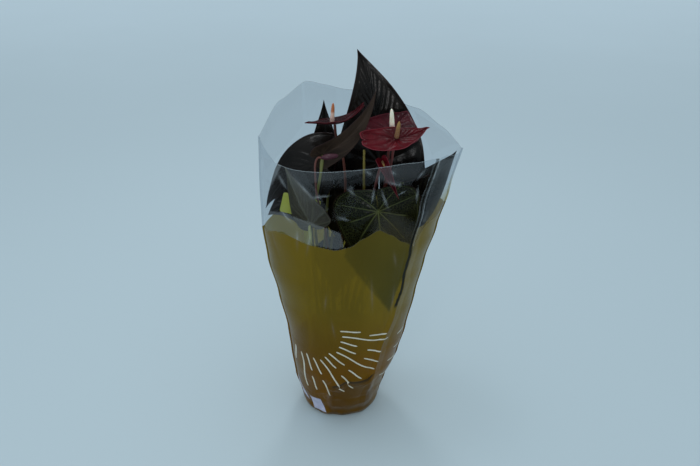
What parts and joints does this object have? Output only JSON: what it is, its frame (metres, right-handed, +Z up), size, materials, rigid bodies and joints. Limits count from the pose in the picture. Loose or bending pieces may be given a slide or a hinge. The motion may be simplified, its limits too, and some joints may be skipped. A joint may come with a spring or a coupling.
{
  "type": "potted anthurium",
  "caption": "Potted anthurium with dark glossy heart-shaped leaves and burgundy-red flowers, standing in a clear florist's sleeve printed ochre below.",
  "frame": {"origin": "on the floor, on the pot's axis, in the underside of the film folded under the pot", "axes": "+Z up; -Y is the front, towards the big hanging leaf and the printed panel's face; +X is the plant's right as seen from the front, the side the sleeve leans to"},
  "size_m": [0.2874, 0.1719, 0.5621],
  "materials": {
    "pot_plastic": "thin thermoformed brown nursery pot, faint gloss",
    "peat": "moist peat and bark mix, crumbly and matt",
    "crown_bark": "short woody stem base with leaf scars",
    "leaf_dark": "glossy leathery leaf, almost black green with paler veins",
    "leaf_underside": "matt grey-brown underside with raised pale veins",
    "leaf_bronze": "matt bronze young leaf",
    "petiole_green": "yellow-green round stalk, satin",
    "peduncle_red": "reddish round flower stalk, satin",
    "stalk_olive": "olive-yellow stalk with a dry cut end",
    "spathe_burgundy": "waxy dark burgundy, high gloss",
    "spathe_red": "waxy deep red, glossy",
    "spadix_cream": "fine-beaded cream spike, pinkish at its foot",
    "spadix_ochre": "fine-beaded ochre spike",
    "spadix_orange": "fine-beaded orange spike with a paler foot",
    "bud_purple": "rolled waxy bud, purple",
    "label_lime": "plain lime plastic label, satin, unprinted",
    "film_print": "clear film, its lower part printed translucent ochre with white dashes; glossy"
  },
  "bodies": {
    "root": {"bud": "bud_purple", "care_label": "label_lime", "crown": "crown_bark", "leaf_cupped": "leaf_dark", "leaf_front": "leaf_dark", "leaf_front_left": "leaf_underside", "leaf_inner": "leaf_dark", "leaf_left": "leaf_dark", "leaf_low": "leaf_dark", "leaf_rear": "leaf_dark", "leaf_right": "leaf_dark", "leaf_tall": "leaf_dark", "leaf_upright": "leaf_dark", "leaf_young": "leaf_bronze", "peduncle_back": "peduncle_red", "peduncle_bud": "peduncle_red", "peduncle_front": "peduncle_red", "peduncle_left": "peduncle_red", "peduncle_narrow": "peduncle_red", "petiole_cupped": "petiole_green", "petiole_front": "petiole_green", "petiole_front_left": "petiole_green", "petiole_inner": "petiole_green", "petiole_left": "petiole_green", "petiole_low": "petiole_green", "petiole_rear": "petiole_green", "petiole_right": "petiole_green", "petiole_tall": "petiole_green", "petiole_upright": "petiole_green", "petiole_young": "petiole_green", "pot": "pot_plastic", "potting_mix": "peat", "sleeve_back": "film_print", "sleeve_front": "film_print", "spadix_back": "spadix_cream", "spadix_front": "spadix_ochre", "spadix_left": "spadix_orange", "spadix_narrow": "spadix_ochre", "spathe_back": "spathe_burgundy", "spathe_front": "spathe_burgundy", "spathe_left": "spathe_red", "spathe_narrow": "spathe_red", "stalk_cut": "stalk_olive"}
  },
  "joints": []
}
